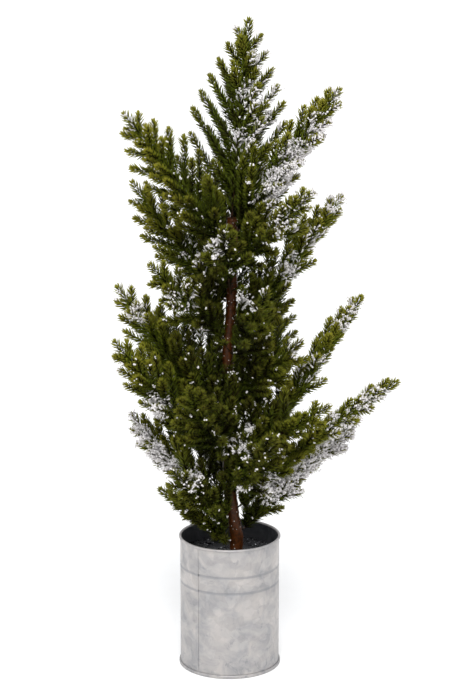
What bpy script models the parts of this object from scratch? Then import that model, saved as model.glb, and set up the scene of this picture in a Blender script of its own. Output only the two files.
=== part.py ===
"""Artificial tabletop spruce in a galvanised tin pot.

The tin is a rolled sheet-steel wall seamed onto a flat bottom plate. A cast cement ballast lies in it, with
a foam block and a bed of grit on top. A steel rod stands in the ballast, wrapped with brown tape as the
trunk. Each bough is a bendable wire that leaves the trunk, with a moulded spray of needles on it: a stem
with sprigs down both sides, short at the tip and longer towards the trunk. Every bough has its origin on
the bend at the trunk. The origin of the part is the middle of the pot's underside, on the floor.
"""

from collections import namedtuple
from math import cos, radians, sin

import bmesh
import bpy
from mathutils import Matrix, Vector

GAP = 0.0003

# Tin pot
POT_RADIUS = 0.0468
POT_HEIGHT = 0.127
SHEET = 0.0006
RIM_BEAD_RADIUS = 0.0012
GROOVES_BELOW_RIM = (0.028, 0.0435)
GROOVE_DEPTH = 0.0006
GROOVE_WIDTH = 0.0024
LAP_AZIMUTH = radians(234)
LAP_WIDTH = 0.004
LAP_RISE = 0.0006
BASE_PROUD = 0.0012
BASE_SEAM_HEIGHT = 0.0032
TURNED_STEPS = 36

# Filling: the ballast from the bottom plate up, the grit from the rim down
BALLAST_TOP = 0.052
GRIT_BELOW_RIM = 0.015
GRIT_DEPTH = 0.012
GRIT_TOP = POT_HEIGHT - GRIT_BELOW_RIM
FOAM_TOP = GRIT_TOP - GRIT_DEPTH
GRIT_RELIEF = 0.0014

# Trunk: a station on it is 0 at the grit and 1 at its top. The bends are (station, sideways place) of its
# line, which leans and straightens like a bent rod
TRUNK_LENGTH = 0.318
TRUNK_TOP = GRIT_TOP + TRUNK_LENGTH
ROD_FOOT = 0.020
TRUNK_FOOT_SIDE = 0.0065
TRUNK_BENDS = (
    (0.0409, TRUNK_FOOT_SIDE),
    (0.1667, 0.0005),
    (0.3239, -0.0015),
    (0.5912, -0.0020),
    (0.7484, 0.0020),
    (1.0, 0.0020),
)
ROD_RADIUS = 0.00175
WRAP_FOOT = BALLAST_TOP + GAP
WRAP_FOOT_RADIUS = 0.0062
WRAP_TOP_RADIUS = 0.0046

# Boughs: the bendable wire and the moulded spray on it
WIRE_RADIUS = 0.001
ROOT_CLEARANCE = 0.0016
BARE_WIRE = 0.013
WIRE_SHARE = 0.55
STEM_RADIUS = 0.0028
STEM_PIECES = 6
SPRIG_WIDTH = 0.0096
SPRIG_THICKNESS = 0.0056
SPRIG_SPACING = 0.023
SPRIG_STAGGER = 0.3
SPRIG_ANGLE = radians(38)
SPRIG_FIRST = 0.024
SPRIG_SHORTEST = 0.009
SPRIG_GROWTH = 0.46
BARE_STEM = 0.030
LEADER_BARE_STEM = 0.014

# station on the trunk, length in metres, angles in degrees: azimuth 0 is +X and 90 is +Y, rise is the slope
# at the trunk, curl is what it gains by the tip, twist rolls the spray, and the last two are the longest
# sprigs above and below
Bough = namedtuple("Bough", "name station azimuth rise curl length twist upper lower")
BOUGHS = (
    Bough("leader", 1.0, 0, 86, -2, 0.180, 0, 0.072, 0.072),
    Bough("left_1", 0.9214, 202, 53, -1, 0.160, 0, 0.056, 0.044),
    Bough("left_2", 0.7547, 168, 50, 2, 0.140, 0, 0.046, 0.042),
    Bough("left_3", 0.6478, 208, 44, 4, 0.108, 0, 0.036, 0.028),
    Bough("left_4", 0.3774, 181, 54, 2, 0.166, 0, 0.054, 0.046),
    Bough("left_5", 0.2767, 202, 48, 4, 0.164, 0, 0.048, 0.044),
    Bough("left_6", 0.1195, 174, 43, 6, 0.128, 0, 0.036, 0.034),
    Bough("left_7", 0.0252, 196, 38, 6, 0.090, 0, 0.022, 0.012),
    Bough("right_1", 0.9623, -24, 54, 0, 0.168, 0, 0.046, 0.028),
    Bough("right_2", 0.8585, -44, 41, 0, 0.124, 0, 0.026, 0.022),
    Bough("right_3", 0.6384, 10, 52, 2, 0.166, 0, 0.048, 0.022),
    Bough("right_4", 0.4717, -18, 38, 8, 0.088, 0, 0.036, 0.030),
    Bough("right_5", 0.2138, 8, 54, 4, 0.210, 0, 0.040, 0.016),
    Bough("right_6", 0.2925, -30, 28, 8, 0.118, 0, 0.018, 0.022),
    Bough("right_7", 0.1352, -10, 47, -12, 0.196, 0, 0.028, 0.014),
    Bough("right_8", 0.0629, 10, 43, 0, 0.152, 0, 0.034, 0.020),
    Bough("front_1", 0.2925, -112, 40, 10, 0.125, 70, 0.050, 0.050),
    Bough("front_2", 0.1887, -66, 36, 12, 0.115, 70, 0.046, 0.046),
    Bough("front_3", 0.5786, -60, 46, 10, 0.104, 40, 0.040, 0.040),
    Bough("front_4", 0.7799, -98, 50, 8, 0.090, 70, 0.036, 0.036),
    Bough("front_5", 0.0723, -135, 42, 4, 0.104, 50, 0.034, 0.034),
    Bough("back_1", 0.8994, 70, 52, 5, 0.124, 50, 0.048, 0.048),
    Bough("back_2", 0.7484, 105, 50, 5, 0.144, 60, 0.052, 0.052),
    Bough("back_3", 0.3868, 60, 45, 5, 0.154, 60, 0.054, 0.054),
    Bough("back_4", 0.3333, 140, 47, 5, 0.150, -20, 0.046, 0.046),
    Bough("back_5", 0.1509, 98, 40, 5, 0.154, 60, 0.054, 0.054),
)


def clear_scene():
    for item in list(bpy.data.objects):
        bpy.data.objects.remove(item, do_unlink=True)


def new_collection(name):
    collection = bpy.data.collections.new(name)
    bpy.context.scene.collection.children.link(collection)
    return collection


def material(name, colour, roughness, metallic=0.0):
    made = bpy.data.materials.new(name)
    made.use_nodes = True
    shader = made.node_tree.nodes["Principled BSDF"]
    shader.inputs["Base Color"].default_value = (*colour, 1.0)
    shader.inputs["Roughness"].default_value = roughness
    shader.inputs["Metallic"].default_value = metallic
    return made


def place(name, mesh, look=None, at=(0, 0, 0), helper=False):
    """Puts a mesh in the scene: a sub-part, or a helper that only shapes one."""
    item = bpy.data.objects.new(name, mesh)
    item.location = at
    if helper:
        helpers.objects.link(item)
        item.hide_render = True
        item.display_type = "WIRE"
    else:
        parts.objects.link(item)
        mesh.materials.append(look)
        mesh.shade_smooth()
        mesh.set_sharp_from_angle(angle=radians(35))
    return item


def boolean(item, other, operation):
    modifier = item.modifiers.new(operation.title() + " " + other.name, "BOOLEAN")
    modifier.operation = operation
    modifier.solver = "EXACT"
    modifier.object = other


def turned(name, outline, look, steps=TURNED_STEPS):
    """A closed outline of (radius, height) points turned round Z. It runs down its outer side."""
    mesh = bpy.data.meshes.new(name)
    count = len(outline)
    edges = [(i, (i + 1) % count) for i in range(count)]
    if outline[0][0] == 0 and outline[-1][0] == 0:
        edges.pop()
    mesh.from_pydata([(r, 0, z) for r, z in outline], edges, [])
    item = place(name, mesh, look)
    screw = item.modifiers.new("Turned", "SCREW")
    screw.steps = screw.render_steps = steps
    screw.use_merge_vertices = True
    screw.merge_threshold = 0.00005
    screw.use_normal_calculate = True
    return item


def cylinder_mesh(name, radius, low, high, segments=24, at=(0, 0)):
    mesh = bpy.data.meshes.new(name)
    bm = bmesh.new()
    where = Matrix.Translation((at[0], at[1], (low + high) / 2))
    bmesh.ops.create_cone(
        bm, cap_ends=True, segments=segments, radius1=radius, radius2=radius, depth=high - low, matrix=where
    )
    bm.to_mesh(mesh)
    bm.free()
    return mesh


def tube_mesh(name, points, radii, bevel_resolution=1):
    """A round bar along the points, made as a curve and then turned into a closed mesh."""
    curve = bpy.data.curves.new(name, "CURVE")
    curve.dimensions = "3D"
    curve.bevel_depth = 1.0
    curve.bevel_resolution = bevel_resolution
    curve.use_fill_caps = True
    line = curve.splines.new("POLY")
    line.points.add(len(points) - 1)
    for knot, place_at, radius in zip(line.points, points, radii):
        knot.co = (*place_at, 1.0)
        knot.radius = radius
    guide = bpy.data.objects.new(name + "_guide", curve)
    helpers.objects.link(guide)
    bpy.context.view_layer.update()
    graph = bpy.context.evaluated_depsgraph_get()
    mesh = bpy.data.meshes.new_from_object(guide.evaluated_get(graph))
    bpy.data.objects.remove(guide, do_unlink=True)
    mesh.name = name
    bm = bmesh.new()
    bm.from_mesh(mesh)
    bmesh.ops.remove_doubles(bm, verts=bm.verts, dist=0.00002)
    bmesh.ops.recalc_face_normals(bm, faces=bm.faces)
    bm.to_mesh(mesh)
    bm.free()
    return mesh


# The pot


def groove(height, radius, way):
    """A shallow swaged ring, as points of the outline going down (way 1) or up (way -1)."""
    half = GROOVE_WIDTH / 2
    ring = [(0, half), (-GROOVE_DEPTH, half / 2), (-GROOVE_DEPTH, -half / 2), (0, -half)]
    return [(radius + dr, height + dz) for dr, dz in ring[::way]]


def pot_wall():
    """Rolled sheet with a curled rim, two swaged rings and the lap of its side seam."""
    low = SHEET + GAP
    inner = POT_RADIUS - SHEET
    bead_height = POT_HEIGHT - RIM_BEAD_RADIUS
    bead = []
    for k in range(9):
        turn = radians(240 - 37.5 * k)
        bead.append((POT_RADIUS + RIM_BEAD_RADIUS * cos(turn), bead_height + RIM_BEAD_RADIUS * sin(turn)))
    outline = bead
    for below in GROOVES_BELOW_RIM:
        outline = outline + groove(POT_HEIGHT - below, POT_RADIUS, 1)
    outline = outline + [(POT_RADIUS, low), (inner, low)]
    for below in reversed(GROOVES_BELOW_RIM):
        outline = outline + groove(POT_HEIGHT - below, inner, -1)
    wall = turned("pot_wall", outline, tin)

    lap = bpy.data.meshes.new("side_lap")
    across = LAP_WIDTH / (2 * POT_RADIUS)
    bm = bmesh.new()
    low_ring = []
    for radius, turns in ((POT_RADIUS - SHEET / 2, (-1, 0, 1)), (POT_RADIUS + LAP_RISE, (1, 0, -1))):
        for k in turns:
            angle = LAP_AZIMUTH + k * across
            low_ring.append(bm.verts.new((radius * cos(angle), radius * sin(angle), BASE_SEAM_HEIGHT + GAP)))
    foot = bm.faces.new(low_ring)
    raised = bmesh.ops.extrude_face_region(bm, geom=[foot])["geom"]
    tops = [v for v in raised if isinstance(v, bmesh.types.BMVert)]
    bmesh.ops.translate(bm, verts=tops, vec=(0, 0, bead_height - BASE_SEAM_HEIGHT - GAP))
    bmesh.ops.recalc_face_normals(bm, faces=bm.faces)
    bm.to_mesh(lap)
    bm.free()
    boolean(wall, place("side_lap", lap, helper=True), "UNION")


def pot_bottom():
    """Flat plate with a turned-up seam that holds the foot of the wall."""
    lip = POT_RADIUS + GAP
    base = POT_RADIUS + BASE_PROUD
    ease = 0.0006
    outline = [
        (lip, BASE_SEAM_HEIGHT),
        (base - ease, BASE_SEAM_HEIGHT),
        (base, BASE_SEAM_HEIGHT - ease),
        (base, ease),
        (base - ease, 0),
        (0, 0),
        (0, SHEET),
        (lip, SHEET),
    ]
    turned("pot_bottom", outline, tin)


def filling_radius():
    return POT_RADIUS - SHEET - GROOVE_DEPTH - GAP


def trunk_hole(item, radius, high):
    foot = (TRUNK_FOOT_SIDE, 0)
    cutter = cylinder_mesh(item.name + "_hole", radius, ROD_FOOT - GAP, high, 12, foot)
    boolean(item, place(item.name + "_hole", cutter, helper=True), "DIFFERENCE")


def filling():
    """Cement ballast, foam block and grit, each with the hole for what stands in it."""
    low = SHEET + GAP
    ballast = cylinder_mesh("cement_ballast", filling_radius(), low, BALLAST_TOP, TURNED_STEPS)
    trunk_hole(place("cement_ballast", ballast, cement), ROD_RADIUS + GAP, BALLAST_TOP + 0.01)
    foam = cylinder_mesh("foam_block", filling_radius(), BALLAST_TOP + GAP, FOAM_TOP, TURNED_STEPS)
    trunk_hole(place("foam_block", foam, foam_look), WRAP_FOOT_RADIUS + GAP, FOAM_TOP + 0.01)

    radius = filling_radius()
    outline = [(0, GRIT_TOP)]
    rings = 5
    for k in range(1, rings + 1):
        relief = GRIT_RELIEF * sin(2.1 * k + 0.4) / 2
        outline.append((radius * k / rings, GRIT_TOP + relief))
    outline += [(radius, FOAM_TOP + GAP), (0, FOAM_TOP + GAP)]
    bed = turned("grit_bed", outline, grit, steps=20)
    trunk_hole(bed, WRAP_FOOT_RADIUS + GAP, GRIT_TOP + 0.01)


# The trunk


def trunk_height(station):
    return GRIT_TOP + station * TRUNK_LENGTH


def trunk_line():
    """(height, sideways place) of the trunk's line, from the rod's foot up."""
    return [(ROD_FOOT, TRUNK_FOOT_SIDE)] + [(trunk_height(station), side) for station, side in TRUNK_BENDS]


def trunk_side(height):
    """Sideways place of the trunk's line at this height."""
    line = trunk_line()
    for (low, x_low), (high, x_high) in zip(line, line[1:]):
        if height <= high:
            return x_low + (x_high - x_low) * (height - low) / (high - low)
    return line[-1][1]


def wrap_radius(height):
    share = (height - WRAP_FOOT) / (TRUNK_TOP - WRAP_FOOT)
    return WRAP_FOOT_RADIUS + (WRAP_TOP_RADIUS - WRAP_FOOT_RADIUS) * max(share, 0)


def trunk():
    """Steel rod from the ballast to the leader, and the tape wrapped round it."""
    points = [Vector((x, 0, z)) for z, x in trunk_line()]
    place("trunk_rod", tube_mesh("trunk_rod", points, [ROD_RADIUS] * len(points), 2), steel)

    wrapped = [Vector((TRUNK_FOOT_SIDE, 0, WRAP_FOOT))] + points[1:]
    radii = [wrap_radius(point.z) for point in wrapped]
    wrap = place("trunk_wrap", tube_mesh("trunk_wrap", wrapped, radii, 4), bark)
    bored = points[:-1] + [points[-1] + Vector((0, 0, 0.01))]
    bore = tube_mesh("trunk_wrap_bore", bored, [ROD_RADIUS + GAP] * len(bored), 2)
    boolean(wrap, place("trunk_wrap_bore", bore, helper=True), "DIFFERENCE")


# The boughs


def bough_axes(bough):
    """Unit vectors out from the trunk and sideways, in plan."""
    angle = radians(bough.azimuth)
    return Vector((cos(angle), sin(angle), 0)), Vector((-sin(angle), cos(angle), 0))


def bough_root(bough):
    """Where the bough's wire bends: just off the wrap, or on top of the trunk for the leader."""
    outward, _ = bough_axes(bough)
    height = trunk_height(bough.station)
    foot = Vector((trunk_side(height), 0, height))
    if bough.name == "leader":
        return foot + Vector((0, 0, ROOT_CLEARANCE))
    return foot + outward * (wrap_radius(height) + ROOT_CLEARANCE)


def stem_point(bough, share):
    """(place from the root, direction) on the bough's arc, at this share of its length."""
    outward, _ = bough_axes(bough)
    up = Vector((0, 0, 1))
    rise = radians(bough.rise)
    slope = rise + radians(bough.curl) * share
    middle = (rise + slope) / 2
    where = (outward * cos(middle) + up * sin(middle)) * bough.length * share
    return where, outward * cos(slope) + up * sin(slope)


def sprigs(bough, side):
    """(foot, direction, length, across) of each sprig on one side of the stem, from the tip down."""
    outward, sideways = bough_axes(bough)
    longest = bough.upper if side > 0 else bough.lower
    found = []
    from_tip = SPRIG_FIRST if side > 0 else SPRIG_FIRST + SPRIG_SPACING * SPRIG_STAGGER
    bare = LEADER_BARE_STEM if bough.name == "leader" else BARE_STEM
    while bough.length - from_tip > bare:
        foot, along = stem_point(bough, 1 - from_tip / bough.length)
        over = along.cross(sideways)
        roll = radians(bough.twist)
        across = over * cos(roll) + sideways * sin(roll)
        way = along * cos(SPRIG_ANGLE) + across * side * sin(SPRIG_ANGLE)
        length = min(SPRIG_SHORTEST + SPRIG_GROWTH * from_tip, longest)
        found.append((foot, way, length, along.cross(across).normalized()))
        from_tip += SPRIG_SPACING
    return found


def sprig_set(bough, side):
    """All the sprigs of one side as one helper mesh: flat four-sided blades with pointed tips."""
    mesh = bpy.data.meshes.new(bough.name + "_sprigs")
    bm = bmesh.new()
    for foot, way, length, flat in sprigs(bough, side):
        wide = way.cross(flat)
        inset, tip = 0.0015, 0.25 * length
        body = length - inset - tip
        turn = Matrix((flat * SPRIG_THICKNESS / 2, wide * SPRIG_WIDTH / 2, way)).transposed().to_4x4()
        where = Matrix.Translation(foot + way * (inset + body / 2)) @ turn
        made = bmesh.ops.create_cone(
            bm, cap_ends=True, segments=4, radius1=0.85, radius2=1.0, depth=body, matrix=where
        )["verts"]
        end = max({f for v in made for f in v.link_faces}, key=lambda f: f.calc_center_median().dot(way))
        peak = bmesh.ops.poke(bm, faces=[end])["verts"]
        bmesh.ops.translate(bm, verts=peak, vec=way * tip)
    bmesh.ops.recalc_face_normals(bm, faces=bm.faces)
    bm.to_mesh(mesh)
    bm.free()
    return mesh


def bough_parts(bough):
    """The wire and the spray of one bough, both with their origin on the bend at the trunk."""
    root = bough_root(bough)
    shares = [k / STEM_PIECES for k in range(STEM_PIECES + 1)]
    wire_shares = [share for share in shares if share < WIRE_SHARE] + [WIRE_SHARE]
    wire_line = [stem_point(bough, share)[0] for share in wire_shares]
    wire = tube_mesh(bough.name + "_wire", wire_line, [WIRE_RADIUS] * len(wire_line))
    place(bough.name + "_wire", wire, wire_look, root)

    start = BARE_WIRE / bough.length
    stem_shares = [start] + [share for share in shares if start * 1.3 < share < 0.9] + [0.93, 1]
    stem_line = [stem_point(bough, share)[0] for share in stem_shares]
    radii = [STEM_RADIUS] * (len(stem_line) - 2) + [STEM_RADIUS * 1.3, STEM_RADIUS * 0.3]
    spray = place(bough.name + "_spray", tube_mesh(bough.name + "_spray", stem_line, radii), needles, root)
    for side in (1, -1):
        boolean(spray, place(bough.name + "_sprigs", sprig_set(bough, side), at=root, helper=True), "UNION")

    last, along = stem_point(bough, WIRE_SHARE)
    bored = wire_line[:-1] + [last + along * GAP]
    bore = tube_mesh(bough.name + "_bore", bored, [WIRE_RADIUS + GAP] * len(bored))
    boolean(spray, place(bough.name + "_bore", bore, at=root, helper=True), "DIFFERENCE")


clear_scene()
parts = new_collection("tabletop_tree")
helpers = new_collection("tabletop_tree_helpers")
tin = material("galvanised_tin", (0.56, 0.55, 0.54), 0.5, 0.8)
cement = material("cement", (0.45, 0.44, 0.42), 0.9)
foam_look = material("florist_foam", (0.10, 0.16, 0.09), 0.95)
grit = material("black_grit", (0.02, 0.02, 0.022), 0.6)
steel = material("steel_rod", (0.35, 0.34, 0.33), 0.45, 1.0)
bark = material("brown_wrap", (0.13, 0.07, 0.045), 0.55)
wire_look = material("brown_wire", (0.10, 0.06, 0.04), 0.5)
needles = material("moulded_needles", (0.12, 0.15, 0.07), 0.6)

pot_wall()
pot_bottom()
filling()
trunk()
for each in BOUGHS:
    bough_parts(each)
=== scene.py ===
# %% [markdown]
# # A tabletop spruce in a tin pot
#
# This lesson dresses a finished assembly. The pot, its filling, the trunk and twenty-six boughs are already
# there as plain solids, each on its own moving body. Here they get the look of the real thing: weathered
# galvanised tin, black grit, a taped trunk, moulded needles and a dusting of flocked snow.

from collections import namedtuple
from math import cos, pi, radians, sin

import bpy
import numpy as np
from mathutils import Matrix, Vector


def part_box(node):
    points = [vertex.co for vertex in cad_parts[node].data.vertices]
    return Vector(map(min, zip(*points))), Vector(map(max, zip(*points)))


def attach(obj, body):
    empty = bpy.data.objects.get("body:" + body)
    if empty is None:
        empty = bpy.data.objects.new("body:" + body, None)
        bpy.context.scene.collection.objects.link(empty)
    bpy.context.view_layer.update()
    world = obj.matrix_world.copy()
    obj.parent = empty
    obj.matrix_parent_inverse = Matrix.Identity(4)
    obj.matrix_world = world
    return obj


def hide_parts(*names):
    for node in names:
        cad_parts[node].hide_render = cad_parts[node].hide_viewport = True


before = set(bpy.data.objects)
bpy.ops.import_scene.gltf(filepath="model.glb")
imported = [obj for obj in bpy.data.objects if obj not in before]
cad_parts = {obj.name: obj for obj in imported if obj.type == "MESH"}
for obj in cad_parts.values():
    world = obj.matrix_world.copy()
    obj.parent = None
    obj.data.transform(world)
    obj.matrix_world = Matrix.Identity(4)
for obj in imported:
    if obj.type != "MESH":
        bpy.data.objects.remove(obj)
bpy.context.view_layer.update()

# %% [markdown]
# ## Small helpers
#
# Operators in Blender act on whatever is selected, so everything is deselected before a new primitive is
# added. Colours are picked as sRGB hex, as a paint card gives them, and turned to the linear numbers that
# shaders use. One function adds any shader node with its settings and links.

# %% Helpers for selecting, painting and wiring nodes
TAU = 2 * pi
MM = 1000  # millimetres in a metre
random = np.random.default_rng(24)


def deselect_all():
    if bpy.context.mode != "OBJECT":
        bpy.ops.object.mode_set(mode="OBJECT")
    bpy.ops.object.select_all(action="DESELECT")


def paint(card):
    """sRGB hex to linear RGBA."""
    shares = [int(card[k : k + 2], 16) / 255 for k in (1, 3, 5)]
    return (*[s / 12.92 if s <= 0.04045 else ((s + 0.055) / 1.055) ** 2.4 for s in shares], 1.0)


def add_node(tree, kind, values=(), links=(), **settings):
    """Adds a shader node. Settings are its own, values fill its sockets, and links feed them."""
    node = tree.nodes.new("ShaderNode" + kind)
    for name, value in settings.items():
        setattr(node, name, value)
    for socket, value in dict(values).items():
        node.inputs[socket].default_value = value
    for socket, source in dict(links).items():
        tree.links.new(source, node.inputs[socket])
    return node


def new_finish(name, **values):
    """A material with a Principled shader: its tree, its shader and itself."""
    finish = bpy.data.materials.new(name)
    finish.use_nodes = True
    shader = finish.node_tree.nodes["Principled BSDF"]
    for socket, value in values.items():
        shader.inputs[socket.replace("_", " ").title().replace("Ior", "IOR")].default_value = value
    return finish, finish.node_tree, shader


MIX_FACTOR, MIX_A, MIX_B, MIX_RESULT = 0, 6, 7, 2
print("helpers ready")

# %% [markdown]
# ## Camera, floor and light
#
# The tree is seen from a little above, from two metres away with a long lens, as in a catalogue. The lens
# is a 115 mm on a frame 36 mm tall. A white floor that runs far back fills the whole view. The light is a
# bright even room, with two broad far lamps as soft boxes. A sun lamp stands in for each, because it lights
# the floor evenly to the far edge. The Standard view keeps colours as they were painted.

# %% Camera, floor, room light and lamps
scene = bpy.context.scene
scene.view_settings.view_transform = "Standard"
deselect_all()
LOOK_DOWN_DEGREES, LOOK_RIGHT_DEGREES = 13.91, 0.103
bpy.ops.object.camera_add(
    location=(0, -2.0, 0.801), rotation=(radians(90 - LOOK_DOWN_DEGREES), 0, radians(-LOOK_RIGHT_DEGREES))
)
camera = bpy.context.object
camera.data.sensor_fit = "VERTICAL"
camera.data.sensor_height = 36
camera.data.lens = 114.7
scene.camera = camera

bpy.ops.mesh.primitive_plane_add(size=40)
floor = bpy.context.object
floor.name = "floor"
floor_paint, tree, shader = new_finish("matt_white_floor", roughness=0.85)
where = add_node(tree, "TexCoord")
speckle = add_node(tree, "TexNoise", {"Scale": 30, "Detail": 3}, {"Vector": where.outputs["Object"]})
blend = add_node(
    tree, "Mix", {MIX_A: paint("#F6F6F5"), MIX_B: paint("#FAFAFA")},
    {MIX_FACTOR: speckle.outputs["Fac"]}, data_type="RGBA",
)
tree.links.new(blend.outputs[MIX_RESULT], shader.inputs["Base Color"])
floor.data.materials.append(floor_paint)

room = scene.world or bpy.data.worlds.new("room")
scene.world = room
room.use_nodes = True
room.node_tree.nodes["Background"].inputs["Color"].default_value = paint("#FCFDFF")
room.node_tree.nodes["Background"].inputs["Strength"].default_value = 0.88

Lamp = namedtuple("Lamp", "name place spread strength")
LAMPS = (Lamp("key_lamp", (0.02, -1.9, 2.4), 28, 2.2), Lamp("fill_lamp", (-2.0, -1.2, 1.2), 40, 0.25))
for lamp in LAMPS:
    bpy.ops.object.light_add(type="SUN", rotation=(-Vector(lamp.place)).to_track_quat("-Z", "Y").to_euler())
    light = bpy.context.object
    light.name = lamp.name
    light.data.angle = radians(lamp.spread)
    light.data.energy = lamp.strength
    print("lamp", lamp.name, lamp.strength, "W per square metre")

# %% [markdown]
# ## Finish: weathered galvanised tin
#
# Sheet steel dipped in zinc. New zinc is bright and shows crystals, and outdoors it dulls to a matt pale
# grey with cloudy darker patches. It could be one grey metal, but the patches are what the eye knows it by,
# so the colour comes in three layers: clouds about 20 mm across, faint crystals of about 7 mm, and a few
# dark bluish stains that gather near the foot. The roughness follows the clouds.

# %% Galvanised tin, outside, and inside in darker colours as painted shade
CLOUD, CRYSTAL, STAIN, FINE_GRAIN = 0.020, 0.007, 0.013, 0.0011
GROOVES_BELOW_RIM = (0.028, 0.0435)
GROOVE_BAND_CORE, GROOVE_BAND_EDGE, GROOVE_BAND_SHARE = 0.0006, 0.0018, 0.55
rim_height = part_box("pot_wall")[1].z
groove_heights = [rim_height - drop for drop in GROOVES_BELOW_RIM]


def galvanised(name, bright, dull, stain, metal):
    """Zinc-dipped sheet. The inside of a pot is the same sheet in darker colours, painted shade."""
    finish, tree, shader = new_finish(name, metallic=metal, roughness=0.5)
    where = add_node(tree, "TexCoord").outputs["Object"]
    clouds = add_node(
        tree, "TexNoise",
        {"Scale": 1 / CLOUD, "Detail": 6, "Roughness": 0.62, "Distortion": 0.8}, {"Vector": where},
    )
    cloud_share = add_node(
        tree, "MapRange", {"From Min": 0.36, "From Max": 0.64}, {"Value": clouds.outputs["Fac"]}, clamp=True
    )
    zinc = add_node(
        tree, "Mix", {MIX_A: paint(bright), MIX_B: paint(dull)},
        {MIX_FACTOR: cloud_share.outputs[0]}, data_type="RGBA",
    )
    crystals = add_node(tree, "TexVoronoi", {"Scale": 1 / CRYSTAL, "Randomness": 1.0}, {"Vector": where})
    crystal_grey = add_node(tree, "RGBToBW", (), {"Color": crystals.outputs["Color"]})
    crystal_share = add_node(
        tree, "MapRange", {"To Min": 0.88, "To Max": 1.06}, {"Value": crystal_grey.outputs[0]}
    )
    tinted = add_node(
        tree, "VectorMath", (),
        {0: zinc.outputs[MIX_RESULT], "Scale": crystal_share.outputs[0]}, operation="SCALE",
    )
    stains = add_node(
        tree, "TexNoise",
        {"Scale": 1 / STAIN, "Detail": 5, "Roughness": 0.7, "Distortion": 1.4}, {"Vector": where},
    )
    height = add_node(tree, "SeparateXYZ", (), {"Vector": where}).outputs["Z"]
    foot = add_node(
        tree, "MapRange",
        {"From Min": 0.005, "From Max": 0.05, "To Min": 0.09, "To Max": 0.0}, {"Value": height},
    )
    stain_level = add_node(
        tree, "Math", (), {0: stains.outputs["Fac"], 1: foot.outputs[0]}, operation="ADD"
    )
    stain_share = add_node(
        tree, "MapRange",
        {"From Min": 0.60, "From Max": 0.72, "To Max": 0.62}, {"Value": stain_level.outputs[0]},
    )
    aged = add_node(
        tree, "Mix", {MIX_B: paint(stain)},
        {MIX_FACTOR: stain_share.outputs[0], MIX_A: tinted.outputs[0]}, data_type="RGBA",
    )
    # A darker band of the stain colour along each pressed groove.
    groove_bands = None
    for ring_height in groove_heights:
        off_ring = add_node(tree, "Math", {1: ring_height}, {0: height}, operation="SUBTRACT")
        off_ring = add_node(tree, "Math", (), {0: off_ring.outputs[0]}, operation="ABSOLUTE")
        band = add_node(
            tree, "MapRange",
            {"From Min": GROOVE_BAND_CORE, "From Max": GROOVE_BAND_EDGE, "To Min": GROOVE_BAND_SHARE, "To Max": 0.0},
            {"Value": off_ring.outputs[0]}, clamp=True,
        )
        if groove_bands:
            band = add_node(tree, "Math", (), {0: groove_bands.outputs[0], 1: band.outputs[0]}, operation="ADD")
        groove_bands = band
    groove_banded = add_node(
        tree, "Mix", {MIX_B: paint(stain)},
        {MIX_FACTOR: groove_bands.outputs[0], MIX_A: aged.outputs[MIX_RESULT]}, data_type="RGBA",
    )
    tree.links.new(groove_banded.outputs[MIX_RESULT], shader.inputs["Base Color"])
    dulled = add_node(tree, "MapRange", {"To Min": 0.40, "To Max": 0.60}, {"Value": cloud_share.outputs[0]})
    tree.links.new(dulled.outputs[0], shader.inputs["Roughness"])
    grain = add_node(tree, "TexNoise", {"Scale": 1 / FINE_GRAIN, "Detail": 2}, {"Vector": where})
    relief = add_node(
        tree, "Math", {2: 0.35}, {0: stains.outputs["Fac"], 1: grain.outputs["Fac"]}, operation="MULTIPLY_ADD"
    )
    bump = add_node(tree, "Bump", {"Strength": 0.25, "Distance": 0.0004}, {"Height": relief.outputs[0]})
    tree.links.new(bump.outputs["Normal"], shader.inputs["Normal"])
    return finish


tin = galvanised("weathered_galvanised_tin", "#B4AFAC", "#9E9D9E", "#808286", 0.62)
# The inside is the same tin in darker colours: painted shade inside the pot.
tin_in_painted_shade = galvanised("galvanised_tin_in_painted_shade", "#6E6F73", "#4E5054", "#3A3C40", 0.8)
print("finishes:", tin.name, tin_in_painted_shade.name)

# %% [markdown]
# ## The pot
#
# A tin is a rolled wall, curled over a wire at the rim, pressed in along two rings, lapped down one side and
# seamed to a flat bottom. It could be spun from an outline, but a ring that is extruded and scaled step by
# step is how most people model a tin by hand, and each step stays a clean loop. The wall is hollow, so the
# outline runs down the outside, under the foot and up the inside, and closes on itself.

# %% Turn a ring into a wall
SHEET = 0.0006
RING_CORNERS = 160


def turned(name, outline, finishes, corners=RING_CORNERS):
    """Extrudes a ring along an outline of (radius, height) points and merges where it meets itself."""
    deselect_all()
    radius, height = outline[0]
    bpy.ops.mesh.primitive_circle_add(vertices=corners, radius=radius, location=(0, 0, height))
    piece = bpy.context.object
    piece.name = name
    bpy.ops.object.mode_set(mode="EDIT")
    for (r, z), (next_r, next_z) in zip(outline, outline[1:]):
        bpy.ops.mesh.extrude_region_move(TRANSFORM_OT_translate={"value": (0, 0, next_z - z)})
        bpy.ops.transform.resize(value=(next_r / r, next_r / r, 1))
    if outline[-1] != outline[0]:
        bpy.ops.mesh.edge_face_add()
    bpy.ops.mesh.select_all(action="SELECT")
    bpy.ops.mesh.remove_doubles(threshold=0.00002)
    bpy.ops.mesh.normals_make_consistent(inside=False)
    bpy.ops.object.mode_set(mode="OBJECT")
    bpy.ops.object.transform_apply(location=True, rotation=True, scale=True)
    for finish in finishes:
        piece.data.materials.append(finish)
    bpy.ops.object.shade_smooth_by_angle(angle=radians(40))
    return piece


def arc(centre, radius, start, end, steps):
    """Points of (radius, height) on an arc, in degrees."""
    turns = [radians(start + (end - start) * k / steps) for k in range(steps + 1)]
    return [(centre[0] + radius * cos(t), centre[1] + radius * sin(t)) for t in turns]


def pressed_ring(radius, height, depth, width):
    """A shallow round-bottomed groove, from its top edge to its bottom edge."""
    return [
        (radius - depth * (0.5 - 0.5 * cos(TAU * k / 8)), height + width * (0.5 - k / 8)) for k in range(9)
    ]


print("turning helpers ready")

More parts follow.
